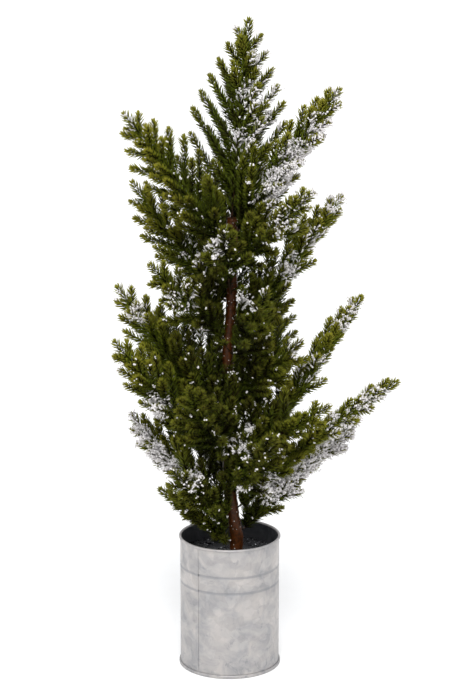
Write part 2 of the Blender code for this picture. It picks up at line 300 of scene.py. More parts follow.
# %% Pot wall
wall_low, wall_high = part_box("pot_wall")
plate_low, plate_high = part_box("pot_bottom")
bead, bead_steps = 0.0012, 14
GROOVE_DEPTH, GROOVE_WIDTH = 0.0004, 0.0036
pot_radius = wall_high.x - bead
foot_height = wall_low.z
bead_middle = (pot_radius, wall_high.z - bead)

outside = arc(bead_middle, bead, 200, -90, bead_steps)
for groove_height in groove_heights:
    outside += pressed_ring(pot_radius, groove_height, GROOVE_DEPTH, GROOVE_WIDTH)
outside += [(pot_radius, 0.060), (pot_radius, 0.030), (pot_radius, foot_height)]
inside = [(r - SHEET, z) for r, z in reversed(outside[bead_steps + 1 :])]
pot_wall = turned("tin_wall", outside + inside + [outside[0]], [tin, tin_in_painted_shade])
# Faces on the inside of the wall take the darker tin, painted shade.
for face in pot_wall.data.polygons:
    middle = face.center
    if (middle.x**2 + middle.y**2) ** 0.5 < pot_radius - 0.8 * SHEET and middle.z < wall_high.z - 0.0028:
        face.material_index = 1
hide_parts("pot_wall")
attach(pot_wall, "base")
print("wall:", len(pot_wall.data.polygons), "faces, radius", round(pot_radius, 4))

# %% Side lap of the wall
LAP_AZIMUTH, LAP_WIDTH, LAP_FOOT = 234, 0.0044, 0.0036
lap_turn = LAP_WIDTH / pot_radius
lap_from = radians(LAP_AZIMUTH) - lap_turn / 2
deselect_all()
bpy.ops.mesh.primitive_plane_add(size=1)
side_lap = bpy.context.object
side_lap.name = "tin_side_lap"
side_lap.data.clear_geometry()
lap_top = wall_high.z - 2 * bead
side_lap.data.from_pydata(
    [(pot_radius * cos(lap_from), pot_radius * sin(lap_from), z) for z in (LAP_FOOT, lap_top)], [(0, 1)], []
)
bpy.ops.object.mode_set(mode="EDIT")
bpy.ops.mesh.select_all(action="SELECT")
bpy.ops.mesh.spin(steps=4, angle=lap_turn, center=(0, 0, 0), axis=(0, 0, 1))
bpy.ops.object.mode_set(mode="OBJECT")
thicken = side_lap.modifiers.new("Sheet", "SOLIDIFY")
thicken.thickness = 0.6 * SHEET
thicken.offset = 1
soften = side_lap.modifiers.new("Pressed edge", "BEVEL")
soften.width = 0.00018
soften.segments = 2
for modifier in (thicken, soften):
    bpy.ops.object.modifier_apply(modifier=modifier.name)
side_lap.data.materials.append(tin)
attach(side_lap, "base")
print("lap:", len(side_lap.data.polygons), "faces")

# %% Seamed bottom
base_radius = plate_high.x
seam_top = plate_high.z
roll = 0.0009
seam = [(pot_radius + 0.0001, SHEET + 0.0004), (pot_radius + 0.0001, seam_top - 0.0004)]
seam += arc((base_radius - roll, seam_top - roll), roll, 90, 0, 5)
seam += arc((base_radius - roll, roll), roll, 0, -90, 5)
seam += [(base_radius - 0.004, 0.0), (base_radius - 0.0055, SHEET), (0.02, SHEET), (0.0006, SHEET)]
pot_bottom = turned("tin_bottom", seam, [tin])
thicken = pot_bottom.modifiers.new("Plate", "SOLIDIFY")
thicken.thickness = SHEET * 0.6
thicken.offset = -1
bpy.ops.object.modifier_apply(modifier="Plate")
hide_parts("pot_bottom")
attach(pot_bottom, "base")
print("bottom:", len(pot_bottom.data.polygons), "faces")

# %% [markdown]
# ## Cement, foam, steel rod and wires
#
# These are real pieces that are mostly out of sight: the cast ballast and the foam block under the grit, the
# rod in the trunk and the wire in each bough. Their shapes are right already, so they only get a finish.
# Cement is matt and sandy, florist's foam is dark green with open cells, the rod is drawn steel, and the
# wires have a thin brown plastic coat.

# %% Finishes for the hidden pieces


def speckled(name, first, second, size, roughness, metal=0.0, depth=0.0003):
    """Two colours mixed by a grain of a real size in metres, with relief of the same grain."""
    finish, tree, shader = new_finish(name, roughness=roughness, metallic=metal)
    where = add_node(tree, "TexCoord").outputs["Object"]
    grain = add_node(tree, "TexNoise", {"Scale": 1 / size, "Detail": 5, "Roughness": 0.65}, {"Vector": where})
    share = add_node(
        tree, "MapRange", {"From Min": 0.38, "From Max": 0.62}, {"Value": grain.outputs["Fac"]}, clamp=True
    )
    mix = add_node(
        tree, "Mix", {MIX_A: paint(first), MIX_B: paint(second)},
        {MIX_FACTOR: share.outputs[0]}, data_type="RGBA",
    )
    bump = add_node(tree, "Bump", {"Strength": 0.6, "Distance": depth}, {"Height": grain.outputs["Fac"]})
    tree.links.new(mix.outputs[MIX_RESULT], shader.inputs["Base Color"])
    tree.links.new(bump.outputs["Normal"], shader.inputs["Normal"])
    return finish


cast_cement = speckled("cast_cement", "#8F8C86", "#6F6D69", 0.002, 0.9)
open_cell_foam = speckled("open_cell_foam", "#2F4A2B", "#1C2E1B", 0.0008, 0.95, depth=0.0006)
drawn_steel = speckled("drawn_steel_rod", "#8A8885", "#6E6C6A", 0.004, 0.38, metal=1.0, depth=0.00005)
coated_wire = speckled("brown_coated_wire", "#3E2817", "#22170D", 0.003, 0.45, depth=0.0001)
KEPT = {"cement_ballast": cast_cement, "foam_block": open_cell_foam, "trunk_rod": drawn_steel}
for node_name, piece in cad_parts.items():
    look = coated_wire if node_name.endswith("_wire") else KEPT.get(node_name)
    if look:
        for material_slot in piece.material_slots:
            material_slot.material = look
print("kept pieces refinished:", sum(name.endswith("_wire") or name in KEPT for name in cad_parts))

# %% [markdown]
# ## Copying one small shape many times
#
# Grit, needles and snow are each one small shape, modelled once and laid down thousands of times. Copying
# objects one by one is slow past a few hundred, so the copies are laid out as arrays: each has a place, a
# direction, a length, a width and a colour note, and one mesh takes them all. The colour note is a
# four-channel attribute that the finish reads: tint with painted shade, frost, share along the piece, and
# depth in the tree for painted shade.

# %% Lay out copies of a small shape

Shape = namedtuple("Shape", "points corners")


def shape_of(piece):
    """The points and triangles of a modelled piece, which is then removed."""
    points = np.array([v.co[:] for v in piece.data.vertices])
    corners = np.array([face.vertices[:] for face in piece.data.polygons])
    bpy.data.objects.remove(piece, do_unlink=True)
    return Shape(points, corners)


def unit(vectors):
    return vectors / np.maximum(np.linalg.norm(vectors, axis=-1, keepdims=True), 1e-9)


def laid(shape, places, ways, lengths, widths, spins, notes):
    """Copies of a shape, its Z along each way. Gives points, corners and notes."""
    ways = unit(ways)
    helper = np.where(np.abs(ways[:, 2:]) < 0.9, np.array([[0.0, 0, 1]]), np.array([[1.0, 0, 0]]))
    across = unit(np.cross(helper, ways))
    over = np.cross(ways, across)
    turned_x = across * np.cos(spins)[:, None] + over * np.sin(spins)[:, None]
    turned_y = np.cross(ways, turned_x)
    points = (
        places[:, None]
        + shape.points[None, :, :1] * (turned_x * widths[:, :1])[:, None]
        + shape.points[None, :, 1:2] * (turned_y * widths[:, 1:])[:, None]
        + shape.points[None, :, 2:] * (ways * lengths[:, None])[:, None]
    )
    count, size = len(places), len(shape.points)
    corners = shape.corners[None] + (np.arange(count) * size)[:, None, None]
    note = np.repeat(notes[:, None], size, axis=1)
    note[:, :, 2] = shape.points[None, :, 2]
    return points.reshape(-1, 3), corners.reshape(-1, 3), note.reshape(-1, 4)


def piece_of(name, layers, finishes):
    """One mesh object from layers of (points, corners, notes, finish index)."""
    offset, all_points, all_corners, all_notes, all_looks = 0, [], [], [], []
    for points, corners, notes, look in layers:
        all_points.append(points)
        all_corners.append(corners + offset)
        all_notes.append(notes)
        all_looks.append(np.full(len(corners), look))
        offset += len(points)
    points, corners = np.concatenate(all_points), np.concatenate(all_corners)
    mesh = bpy.data.meshes.new(name)
    mesh.vertices.add(len(points))
    mesh.vertices.foreach_set("co", points.astype(np.float32).ravel())
    mesh.loops.add(corners.size)
    mesh.loops.foreach_set("vertex_index", corners.astype(np.int32).ravel())
    mesh.polygons.add(len(corners))
    mesh.polygons.foreach_set("loop_start", np.arange(0, corners.size, 3, dtype=np.int32))
    mesh.polygons.foreach_set("material_index", np.concatenate(all_looks).astype(np.int32))
    mesh.update(calc_edges=True)
    note = mesh.color_attributes.new("note", "FLOAT_COLOR", "POINT")
    note.data.foreach_set("color", np.concatenate(all_notes).astype(np.float32).ravel())
    for finish in finishes:
        mesh.materials.append(finish)
    piece = bpy.data.objects.new(name, mesh)
    scene.collection.objects.link(piece)
    return piece


print("copying helpers ready")

# %% Model one grain
deselect_all()
bpy.ops.mesh.primitive_ico_sphere_add(subdivisions=1, radius=1)
stone = bpy.context.object
bpy.ops.object.mode_set(mode="EDIT")
bpy.ops.transform.vertex_random(offset=0.28, seed=5)
bpy.ops.mesh.quads_convert_to_tris()
bpy.ops.object.mode_set(mode="OBJECT")
grain_shape = shape_of(stone)
print("grain:", len(grain_shape.corners), "faces")

# %% [markdown]
# ## Black grit with white specks
#
# Crushed slag or coloured aquarium gravel: glossy black grains two to three millimetres across, mixed with a
# few white and silver ones. A bumpy disc would show flat from above, so the bed is a low mound with real
# grains on it, in a sunflower pattern that never shows rows.

# %% Grit finish
glossy_grit, tree, shader = new_finish("glossy_black_grit", roughness=0.28, ior=1.5)
where = add_node(tree, "TexCoord").outputs["Object"]
note = add_node(tree, "Attribute", attribute_name="note")
channels = add_node(tree, "SeparateColor", (), {"Color": note.outputs["Color"]})
grain = add_node(tree, "TexNoise", {"Scale": 1 / 0.0012, "Detail": 3}, {"Vector": where})
black = add_node(
    tree, "Mix", {MIX_A: paint("#0B0B0D"), MIX_B: paint("#26272B")},
    {MIX_FACTOR: grain.outputs["Fac"]}, data_type="RGBA",
)
stone_colour = add_node(
    tree, "Mix", {MIX_B: paint("#E6E8EC")},
    {MIX_FACTOR: channels.outputs["Green"], MIX_A: black.outputs[MIX_RESULT]}, data_type="RGBA",
)
bump = add_node(tree, "Bump", {"Strength": 0.5, "Distance": 0.0002}, {"Height": grain.outputs["Fac"]})
tree.links.new(stone_colour.outputs[MIX_RESULT], shader.inputs["Base Color"])
tree.links.new(bump.outputs["Normal"], shader.inputs["Normal"])
print("finish:", glossy_grit.name)

# %% Grit bed
grit_low, grit_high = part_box("grit_bed")
bed_radius = grit_high.x
bed = turned(
    "grit_mound",
    [(bed_radius, grit_low.z), (bed_radius, grit_high.z - 0.0032), (bed_radius * 0.5, grit_high.z - 0.0022)]
    + [(0.0065, grit_high.z - 0.0016)],
    [glossy_grit],
    corners=64,
)
bpy.ops.object.mode_set(mode="EDIT")
bpy.ops.mesh.select_all(action="DESELECT")
bpy.ops.mesh.select_non_manifold(extend=False)
bpy.ops.mesh.edge_face_add()
bpy.ops.mesh.select_all(action="SELECT")
bpy.ops.mesh.quads_convert_to_tris()
bpy.ops.mesh.normals_make_consistent(inside=False)
bpy.ops.object.mode_set(mode="OBJECT")
mound = shape_of(bed)
GRAINS, WHITE_SHARE = 1900, 0.10
GOLDEN = 2.39996  # the golden angle, in radians
TRUNK_FOOT_SIDE, TRUNK_FOOT_CLEAR = 0.0065, 0.0072
order = np.arange(GRAINS)
spread = np.sqrt((order + 0.5) / GRAINS) * (bed_radius - 0.0012)
swirl = order * GOLDEN + random.uniform(-0.3, 0.3, GRAINS)
size = random.uniform(0.0008, 0.0016, GRAINS)
level = grit_high.z - 0.0022 + random.uniform(-0.0009, 0.0004, GRAINS) + 0.0008 * np.sin(spread * 260)
places = np.stack([spread * np.cos(swirl), spread * np.sin(swirl), level], 1)
clear = np.hypot(places[:, 0] - TRUNK_FOOT_SIDE, places[:, 1]) > TRUNK_FOOT_CLEAR
notes = np.zeros((GRAINS, 4))
notes[:, 1] = (random.random(GRAINS) < WHITE_SHARE) * random.uniform(0.5, 1.0, GRAINS)
widths = np.stack([size * random.uniform(0.8, 1.25, GRAINS), size], 1)
widths = np.where(notes[:, 1:2] > 0, widths * 0.62, widths)
grains = laid(
    grain_shape,
    places[clear],
    random.normal(size=(GRAINS, 3))[clear],
    (widths[:, 0] * random.uniform(0.6, 1.0, GRAINS))[clear],
    widths[clear],
    random.uniform(0, TAU, GRAINS)[clear],
    notes[clear],
)
grit = piece_of(
    "grit", [(mound.points, mound.corners, np.zeros((len(mound.points), 4)), 0), (*grains, 0)], [glossy_grit]
)
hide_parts("grit_bed")
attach(grit, "base")
print("grit:", int(clear.sum()), "grains")

# %% [markdown]
# ## The taped trunk
#
# The trunk is a steel rod bound with brown crepe tape. The tape winds upwards and each turn laps the one
# below, which leaves a slanting step every 8 mm. A screw modifier makes exactly that: a short sloping line
# with a lip at its top, turned round and raised by one pitch per turn, so that each lip meets the next turn.
# Both ends are filled, and the wound tube is then leaned along the trunk's bent line.

# %% Brown tape finish
brown_tape = speckled("brown_crepe_tape", "#502808", "#2C1603", 0.0022, 0.42, depth=0.0004)
tree = brown_tape.node_tree
shader = tree.nodes["Principled BSDF"]
shader.inputs["Specular IOR Level"].default_value = 0.2
colour_link = shader.inputs["Base Color"].links[0].from_socket
where = add_node(tree, "TexCoord").outputs["Object"]
flecks = add_node(tree, "TexVoronoi", {"Scale": 1 / 0.0035}, {"Vector": where})
fleck_share = add_node(
    tree, "MapRange", {"From Min": 0.10, "From Max": 0.16, "To Min": 0.85, "To Max": 0.0},
    {"Value": flecks.outputs["Distance"]}, clamp=True,
)
dusted = add_node(
    tree, "Mix", {MIX_B: paint("#E9E6E0")},
    {MIX_FACTOR: fleck_share.outputs[0], MIX_A: colour_link}, data_type="RGBA",
)
tree.links.new(dusted.outputs[MIX_RESULT], shader.inputs["Base Color"])
print("finish:", brown_tape.name)

# %% Wind the tape
TRUNK_TOP = 0.430
TRUNK_BENDS = (
    (0.020, 0.0065),
    (0.125, 0.0065),
    (0.165, 0.0005),
    (0.215, -0.0015),
    (0.300, -0.0020),
    (0.350, 0.0020),
    (TRUNK_TOP, 0.0020),
)
WRAP_FOOT, WRAP_FOOT_RADIUS, WRAP_TOP_RADIUS = 0.0523, 0.0062, 0.0046
TAPE_PITCH, TAPE_LIP, SLOPE_STEPS = 0.008, 0.10, 4


def trunk_side(height):
    """Sideways place of the trunk's line at this height."""
    return np.interp(height, [z for z, _ in TRUNK_BENDS], [x for _, x in TRUNK_BENDS])


def wrap_radius(height):
    share = np.clip((height - WRAP_FOOT) / (TRUNK_TOP - WRAP_FOOT), 0, 1)
    return WRAP_FOOT_RADIUS + (WRAP_TOP_RADIUS - WRAP_FOOT_RADIUS) * share


deselect_all()
turns = int((TRUNK_TOP - WRAP_FOOT) / TAPE_PITCH)
bpy.ops.mesh.primitive_plane_add(size=1)
wound = bpy.context.object
wound.name = "taped_trunk"
tape_slope = [
    (1.0 + TAPE_LIP * (1 - k / SLOPE_STEPS) ** 1.5, 0, TAPE_PITCH * k / SLOPE_STEPS)
    for k in range(SLOPE_STEPS + 1)
]
tape_slope.append((1.0 + TAPE_LIP, 0, TAPE_PITCH))
wound.data.clear_geometry()
wound.data.from_pydata(tape_slope, [(k, k + 1) for k in range(SLOPE_STEPS + 1)], [])
winding = wound.modifiers.new("Winding", "SCREW")
winding.steps = winding.render_steps = 20
winding.screw_offset = TAPE_PITCH
winding.iterations = turns
winding.use_merge_vertices = True
winding.merge_threshold = 0.00001
bpy.ops.object.modifier_apply(modifier="Winding")
bpy.ops.object.mode_set(mode="EDIT")
bpy.ops.mesh.select_all(action="SELECT")
bpy.ops.mesh.remove_doubles(threshold=0.00001)
bpy.ops.mesh.fill_holes(sides=0)
bpy.ops.mesh.normals_make_consistent(inside=False)
bpy.ops.object.mode_set(mode="OBJECT")
for point in wound.data.vertices:
    height = min(point.co.z + WRAP_FOOT, TRUNK_TOP)
    girth = wrap_radius(height) * (1 + 0.04 * sin(height * 190 + 2 * point.co.x))
    point.co = (point.co.x * girth + trunk_side(height), point.co.y * girth, height)
wound.data.materials.append(brown_tape)
bpy.ops.object.shade_smooth_by_angle(angle=radians(50))
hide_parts("trunk_wrap")
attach(wound, "base")
print("tape:", turns, "turns")

# %% [markdown]
# ## Finish: moulded needles and flocked snow
#
# The needles are moulded polyethylene: semi-matt and olive green, with painted shade at the root of each
# needle and yellower at the young tips. Every needle carries a note with its own tint, so no two neighbours
# match; the tint also holds painted shade deep in the tree and low down. The snow is white flock glued on,
# so it is the same piece with a second finish: dead matt, a little grey in its hollows as painted shade.

# %% Needle and snow finishes
moulded_needles, tree, shader = new_finish(
    "moulded_polyethylene_needles", roughness=0.5, ior=1.5, specular_ior_level=0.08
)
where = add_node(tree, "TexCoord").outputs["Object"]
note = add_node(tree, "Attribute", attribute_name="note")
channels = add_node(tree, "SeparateColor", (), {"Color": note.outputs["Color"]})
drift = add_node(tree, "TexNoise", {"Scale": 1 / 0.03, "Detail": 2}, {"Vector": where})
# Tint: random tone per needle, plus painted shade in the heart of the tree and low down, from the note.
tint = add_node(
    tree, "Math", (), {0: channels.outputs["Red"], 1: drift.outputs["Fac"]}, operation="ADD"
)
tint_and_shade_share = add_node(
    tree, "MapRange", {"From Min": 0.55, "From Max": 1.40}, {"Value": tint.outputs[0]}, clamp=True
)
green = add_node(
    tree, "Mix", {MIX_A: paint("#080C02"), MIX_B: paint("#566614")},
    {MIX_FACTOR: tint_and_shade_share.outputs[0]}, data_type="RGBA",
)
# Yellower at needle ends and young sprig tips, their own colour; less so deep in the tree, painted shade.
tip_share = add_node(
    tree, "Math", (),
    {0: channels.outputs["Blue"], 1: note.outputs["Alpha"]}, operation="MULTIPLY",
)
# Brown-black at the root of each needle: painted shade.
root_shade_share = add_node(tree, "MapRange", {"From Max": 0.65}, {"Value": channels.outputs["Blue"]}, clamp=True)
root_shaded = add_node(
    tree, "Mix", {MIX_A: paint("#1A0F03")},
    {MIX_FACTOR: root_shade_share.outputs[0], MIX_B: green.outputs[MIX_RESULT]}, data_type="RGBA",
)
young = add_node(
    tree, "Mix", {MIX_B: paint("#989030")},
    {MIX_FACTOR: tip_share.outputs[0], MIX_A: root_shaded.outputs[MIX_RESULT]}, data_type="RGBA",
)
frosted = add_node(
    tree, "Mix", {MIX_B: paint("#E2DEDE")},
    {MIX_FACTOR: channels.outputs["Green"], MIX_A: young.outputs[MIX_RESULT]}, data_type="RGBA",
)
skin = add_node(tree, "TexNoise", {"Scale": 1 / 0.0009, "Detail": 2}, {"Vector": where})
bump = add_node(tree, "Bump", {"Strength": 0.3, "Distance": 0.0001}, {"Height": skin.outputs["Fac"]})
dull = add_node(tree, "MapRange", {"To Min": 0.42, "To Max": 0.75}, {"Value": channels.outputs["Green"]})
tree.links.new(frosted.outputs[MIX_RESULT], shader.inputs["Base Color"])
tree.links.new(dull.outputs[0], shader.inputs["Roughness"])
tree.links.new(bump.outputs["Normal"], shader.inputs["Normal"])

flocked_snow, tree, shader = new_finish("flocked_snow", roughness=0.9)
where = add_node(tree, "TexCoord").outputs["Object"]
fluff = add_node(tree, "TexNoise", {"Scale": 1 / 0.0016, "Detail": 3}, {"Vector": where})
# Greyer where the fluff is low, in the hollows of its bump: painted shade.
white = add_node(
    tree, "Mix", {MIX_A: paint("#CFCBCB"), MIX_B: paint("#F0EDED")},
    {MIX_FACTOR: fluff.outputs["Fac"]}, data_type="RGBA",
)
bump = add_node(tree, "Bump", {"Strength": 0.8, "Distance": 0.0003}, {"Height": fluff.outputs["Fac"]})
tree.links.new(white.outputs[MIX_RESULT], shader.inputs["Base Color"])
tree.links.new(bump.outputs["Normal"], shader.inputs["Normal"])
print("finishes:", moulded_needles.name, flocked_snow.name)

# %% [markdown]
# ## One needle
#
# A spruce needle is a keeled blade: three-sided, widest a third of the way up and drawn to a point. One is
# modelled from a three-sided cone, with its end face extruded and merged to a point. It has ten faces, which
# matters because there are more than a hundred thousand copies.

# %% Model one needle
deselect_all()
bpy.ops.mesh.primitive_cone_add(vertices=3, radius1=0.55, radius2=1.0, depth=0.42, location=(0, 0, 0.21))
needle = bpy.context.object
bpy.ops.object.mode_set(mode="EDIT")
bpy.ops.mesh.select_mode(type="FACE")
bpy.ops.mesh.select_all(action="DESELECT")
bpy.ops.object.mode_set(mode="OBJECT")
for face in needle.data.polygons:
    face.select = face.normal.z > 0.9
bpy.ops.object.mode_set(mode="EDIT")
bpy.ops.mesh.extrude_region_move(TRANSFORM_OT_translate={"value": (0, 0, 0.58)})
bpy.ops.mesh.merge(type="CENTER")
bpy.ops.mesh.select_all(action="SELECT")
bpy.ops.mesh.quads_convert_to_tris()
bpy.ops.object.mode_set(mode="OBJECT")
bpy.ops.object.transform_apply(location=True)
needle_shape = shape_of(needle)
print("needle:", len(needle_shape.corners), "faces")

# %% [markdown]
# ## The boughs
#
# Each bough leaves the trunk at a height, leans out at an angle and curls a little. Sprigs leave it on both
# sides, short near the tip and longer towards the trunk. The table repeats the sizes that the solids were
# built with, in metres and degrees, so that needles grow where the solids are. On some boughs the sprigs
# lie closer to the stem, and a second list gives that angle for the upper and the lower side.
#
# Sprigs in one plane alone would leave the tree thin from the side and bare at the trunk. So thinner sprigs
# stand between the flat ones and out of their plane, short ones hide the wire, longer ones stand up beside
# the trunk, and a third list fills what is still open. Each grows from its own bough, so it moves with it.

# %% Table of boughs
Bough = namedtuple("Bough", "name height azimuth rise curl length twist upper lower")
BOUGHS = (
    Bough("leader", TRUNK_TOP, 0, 86, -2, 0.180, 0, 0.072, 0.072),
    Bough("left_1", 0.405, 202, 53, -1, 0.160, 0, 0.056, 0.044),
    Bough("left_2", 0.352, 168, 50, 2, 0.140, 0, 0.046, 0.042),
    Bough("left_3", 0.318, 208, 44, 4, 0.108, 0, 0.036, 0.028),
    Bough("left_4", 0.232, 181, 54, 2, 0.166, 0, 0.054, 0.046),
    Bough("left_5", 0.200, 202, 48, 4, 0.164, 0, 0.048, 0.044),
    Bough("left_6", 0.150, 174, 43, 6, 0.128, 0, 0.036, 0.034),
    Bough("left_7", 0.120, 196, 38, 6, 0.090, 0, 0.022, 0.012),
    Bough("right_1", 0.418, -24, 54, 0, 0.168, 0, 0.046, 0.028),
    Bough("right_2", 0.385, -44, 41, 0, 0.124, 0, 0.026, 0.022),
    Bough("right_3", 0.315, 10, 52, 2, 0.166, 0, 0.048, 0.022),
    Bough("right_4", 0.262, -18, 38, 8, 0.088, 0, 0.036, 0.030),
    Bough("right_5", 0.180, 8, 54, 4, 0.210, 0, 0.040, 0.016),
    Bough("right_6", 0.205, -30, 28, 8, 0.118, 0, 0.018, 0.022),
    Bough("right_7", 0.155, -10, 47, -12, 0.196, 0, 0.028, 0.014),
    Bough("right_8", 0.132, 10, 43, 0, 0.152, 0, 0.034, 0.020),
    Bough("front_1", 0.205, -112, 40, 10, 0.125, 70, 0.050, 0.050),
    Bough("front_2", 0.172, -66, 36, 12, 0.115, 70, 0.046, 0.046),
    Bough("front_3", 0.296, -60, 46, 10, 0.104, 40, 0.040, 0.040),
    Bough("front_4", 0.360, -98, 50, 8, 0.090, 70, 0.036, 0.036),
    Bough("front_5", 0.135, -135, 42, 4, 0.104, 50, 0.034, 0.034),
    Bough("back_1", 0.398, 70, 52, 5, 0.124, 50, 0.048, 0.048),
    Bough("back_2", 0.350, 105, 50, 5, 0.144, 60, 0.052, 0.052),
    Bough("back_3", 0.235, 60, 45, 5, 0.154, 60, 0.054, 0.054),
    Bough("back_4", 0.218, 140, 47, 5, 0.150, -20, 0.046, 0.046),
    Bough("back_5", 0.160, 98, 40, 5, 0.154, 60, 0.054, 0.054),
)
print("boughs:", len(BOUGHS))

# %% Spacing, growth and lean of the sprigs
# Spacings and lengths are in metres, and angles in degrees from the stem.
ROOT_CLEARANCE = 0.0016
SPRIG_SPACING, SPRIG_STAGGER, SPRIG_ANGLE = 0.023, 0.3, 38
SPRIG_FIRST, SPRIG_SHORTEST, SPRIG_GROWTH = 0.024, 0.009, 0.46
SPRIG_BEND = 0.10
BARE_LEADER, BARE_BOUGH, BARE_LEAST = 0.014, 0.030, 0.012
CROSS_SPACING, CROSS_SHORTEST, CROSS_GROWTH, CROSS_ANGLE = 0.0200, 0.009, 0.34, 32
INNER_FROM, INNER_SPAN, INNER_ANGLE = 0.003, 0.050, 40
UPRIGHT_FROM, UPRIGHT_SPAN, UPRIGHT_ANGLE = 0.008, 0.026, 34
SPRIG_LEAN = {
    "left_4": (36, 27),
    "left_5": (33, 26),
    "left_6": (30, 26),
    "left_7": (22, 20),
    "right_1": (26, 22),
    "right_2": (30, 26),
    "right_3": (28, 20),
    "right_5": (22, 16),
    "right_7": (22, 16),
    "right_8": (26, 20),
}
INNER_SPRIGS, UPRIGHT_SPRIGS = 8, 4
LOW_BOUGH = 0.165
print("boughs with closer sprigs:", len(SPRIG_LEAN))

# %% Sprigs that fill the heart
# Each starts at a percent of its bough's stem. Then comes where its tip ends, in millimetres.
FILLERS = {
    "left_3": (
        (2, -10, -6, 357), (4, -11, -4, 373), (10, -17, -8, 381), (10, -10, 6, 358), (20, -20, 0, 374),
        (14, -10, -14, 352), (26, -22, -14, 364),
    ),
    "left_2": ((2, -9, 2, 386), (14, -16, -4, 396)),
    "back_2": ((2, -10, 6, 380), (4, -8, 12, 390), (14, 16, 14, 402)),
    "left_4": (
        (5, -10, -6, 338), (8, -9, 4, 346), (14, -18, 4, 354), (3, -7, -2, 316), (10, 4, -20, 308),
        (6, 4, -20, 288), (16, -12, -6, 322), (24, -26, -4, 334), (32, -40, 4, 340),
    ),
    "left_7": ((5, -5, -20, 129), (15, -16, -16, 128), (10, -10, -6, 166), (22, -22, -4, 168)),
    "left_6": (
        (30, -50, -4, 246), (42, -60, -4, 252), (20, -28, -4, 226), (32, -42, 0, 238),
        (10, -14, 0, 208), (10, 3, -20, 214), (22, -12, -18, 222),
    ),
    "left_5": (
        (30, -55, -12, 264), (24, -42, -14, 250), (6, -10, -4, 286), (10, -17, 2, 302),
        (14, 4, -26, 292), (20, -34, -10, 258), (8, 4, -22, 262), (16, -14, -20, 270),
        (28, -30, -12, 302),
    ),
    "back_5": (
        (34, -44, 30, 252), (10, -12, 16, 224), (22, -30, 22, 240), (20, 6, 22, 226),
        (30, -16, 30, 236),
    ),
    "front_5": (
        (50, -52, -40, 236), (60, -44, -45, 226), (28, -28, -32, 212), (40, -40, -36, 222),
        (8, 0, -22, 186), (18, -8, -28, 198),
    ),
    "right_7": (
        (10, 20, -10, 202), (30, 46, -12, 246), (2, 14, -2, 196), (5, 0, -22, 204), (12, 16, -16, 222),
        (20, 30, -12, 236),
    ),
    "right_6": (
        (28, 30, -26, 250), (2, 4, -22, 286), (6, 2, -20, 256), (20, 18, -22, 268), (36, 36, -24, 274),
        (50, 50, -30, 280),
    ),
    "right_8": (
        (2, 16, -6, 168), (10, 30, -8, 178), (30, 46, -6, 202), (8, 8, -16, 182), (18, 24, -10, 192),
    ),
    "front_2": (
        (5, 14, -20, 206), (34, 34, -36, 232), (6, -2, -24, 222), (14, 8, -28, 234), (24, 22, -34, 240),
    ),
    "back_4": (
        (6, -8, 12, 296), (12, -26, 14, 280), (24, -44, 20, 300), (20, -18, 20, 318),
        (30, -34, 26, 330),
    ),
    "right_5": (
        (5, -3, -20, 236), (10, 12, -14, 262), (16, 26, -4, 280), (22, 32, 4, 306), (28, 48, 2, 308),
    ),
    "right_4": ((10, 12, -12, 308), (30, 30, -10, 326), (55, 46, -12, 342)),
    "right_3": ((8, 14, -6, 366), (16, 22, 2, 392), (26, 36, 4, 404)),
    "right_2": ((12, 18, -14, 430), (26, 30, -20, 436)),
    "back_3": ((20, 22, 22, 298), (34, 38, 34, 318), (48, 56, 44, 326)),
    "front_1": ((6, 2, -26, 252), (14, -10, -30, 266), (24, 4, -38, 272)),
}
print("filling sprigs:", sum(len(tips) for tips in FILLERS.values()))

# %% Lines that a bough and its sprigs grow along
UP = np.array([0.0, 0, 1])


def bough_axes(bough):
    """Unit vectors out from the trunk and sideways, in plan."""
    turn = radians(bough.azimuth)
    return np.array([cos(turn), sin(turn), 0]), np.array([-sin(turn), cos(turn), 0])


def bough_root(bough):
    foot = np.array([float(trunk_side(bough.height)), 0, bough.height])
    if bough.name == "leader":
        return foot + UP * ROOT_CLEARANCE
    return foot + bough_axes(bough)[0] * (float(wrap_radius(bough.height)) + ROOT_CLEARANCE)


def stem_point(bough, share):
    """(place, direction) on the bough's arc, at this share of its length."""
    outward, _ = bough_axes(bough)
    rise = radians(bough.rise)
    slope = rise + radians(bough.curl) * share
    middle = (rise + slope) / 2
    where = (outward * cos(middle) + UP * sin(middle)) * bough.length * share
    return bough_root(bough) + where, outward * cos(slope) + UP * sin(slope)


def bough_frame(bough, share):
    """(place, along, across, flat) of the bough: across is in the plane of its sprigs, flat is out of it."""
    foot, along = stem_point(bough, share)
    _, sideways = bough_axes(bough)
    over = np.cross(along, sideways)
    roll = radians(bough.twist)
    across = over * cos(roll) + sideways * sin(roll)
    return foot, along, across, unit(np.cross(along, across))


Sprig = namedtuple("Sprig", "start way bend length kind")


def sprig_from(bough, from_tip, side_way, length, kind, angle=SPRIG_ANGLE):
    """A sprig that leaves the stem on the side of side_way, and bends a little along the stem."""
    foot, along, _, _ = bough_frame(bough, 1 - from_tip / bough.length)
    way = along * cos(radians(angle)) + side_way * sin(radians(angle))
    toward = along - way * float(along @ way)
    return Sprig(foot, way, unit(toward) * SPRIG_BEND, length, kind)


